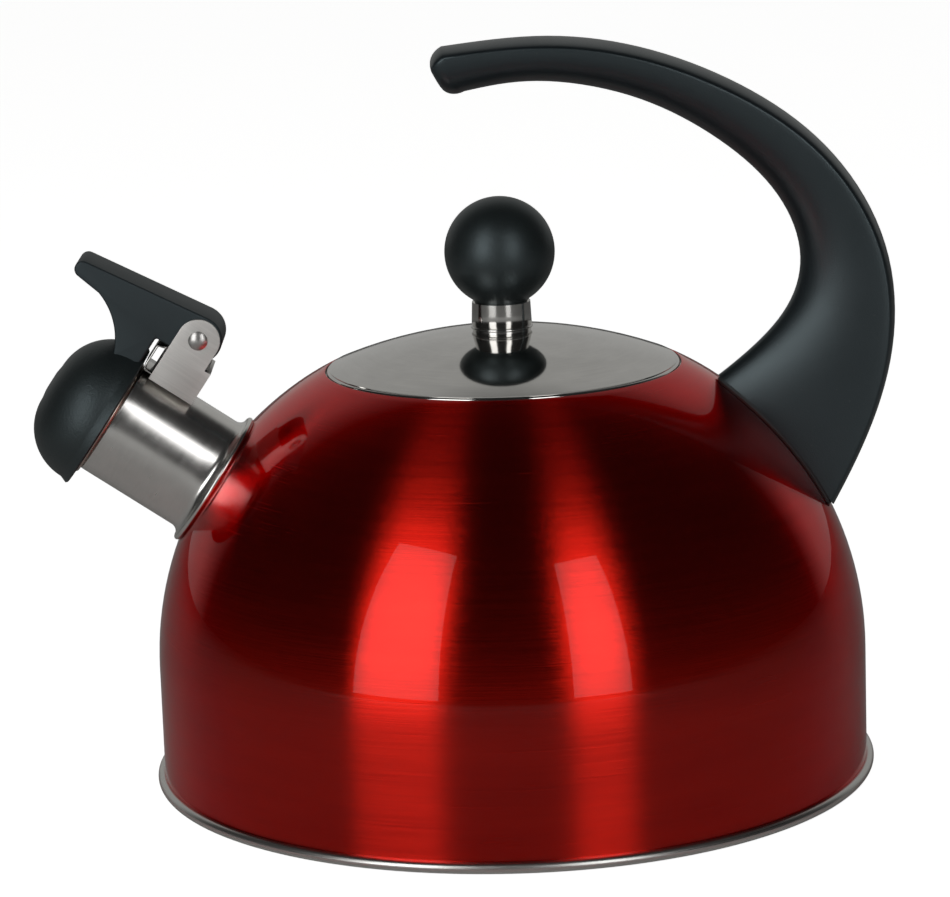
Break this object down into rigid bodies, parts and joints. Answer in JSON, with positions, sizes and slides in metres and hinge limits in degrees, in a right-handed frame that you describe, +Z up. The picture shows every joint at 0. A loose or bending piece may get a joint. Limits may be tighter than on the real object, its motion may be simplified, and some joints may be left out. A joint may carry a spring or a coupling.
{
  "type": "stovetop whistling kettle",
  "caption": "Stovetop kettle with a domed body, lift-off lid with ball knob, open crescent handle and a spout closed by a lever-worked whistle cap.",
  "frame": {"origin": "middle of the flat underside, on the kettle's own axis, at the level it stands on", "axes": "+Z up the kettle's axis; +X towards the handle's root and -X towards the spout; Y across, with the handle, spout and lever in the XZ plane"},
  "size_m": [0.2549, 0.2152, 0.2188],
  "materials": {
    "body_lacquer": "translucent red lacquer over brushed steel, high gloss",
    "base_steel": "satin, turned",
    "core_aluminium": "plain pressed aluminium, sealed inside the base",
    "lid_steel": "mirror-polished stainless steel",
    "spout_steel": "polished stainless steel",
    "cup_steel": "satin pressed steel",
    "bracket_steel": "satin folded sheet",
    "spring_steel": "bright spring strip",
    "screw_steel": "plain fasteners and the rivet",
    "insert_brass": "turned, inside the mouldings",
    "seal_rubber": "silicone gaskets, matt",
    "grip_plastic": "fine-grained satin black phenolic",
    "knob_plastic": "smooth matt black phenolic",
    "lever_plastic": "smooth satin blue-black phenolic",
    "cap_plastic": "grained matt black phenolic"
  },
  "bodies": {
    "kettle": {"body_shell": "body_lacquer", "base_pan": "base_steel", "base_core": "core_aluminium", "base_cap": "base_steel", "handle": "grip_plastic", "handle_pad": "seal_rubber", "handle_inserts": "insert_brass", "handle_screws": "screw_steel", "handle_washers": "screw_steel", "handle_seals": "seal_rubber", "spout_tube": "spout_steel", "spout_seal": "seal_rubber", "spout_ring": "base_steel", "whistle_bracket": "bracket_steel", "stop_clip": "spring_steel", "pivot_rivet": "screw_steel"},
    "lid": {"lid_shell": "lid_steel", "lid_collar": "base_steel", "knob_ball": "knob_plastic", "knob_ferrule": "spout_steel", "knob_insert": "insert_brass", "knob_screw": "screw_steel", "knob_washer": "screw_steel"},
    "lever": {"lever": "lever_plastic", "lever_screw": "screw_steel", "whistle_cap": "cap_plastic", "whistle_cup": "cup_steel", "whistle_disc": "cup_steel"}
  },
  "joints": [
    {"name": "lid_lift", "type": "slide", "parent": "kettle", "child": "lid", "axis": [0, 0, 1], "range_m": [0, 0.025]},
    {"name": "lever_hinge", "type": "hinge", "parent": "kettle", "child": "lever", "pos_m": [-0.08888, 0, 0.13432], "axis": [0, 1, 0], "range_deg": [0, 80]}
  ]
}
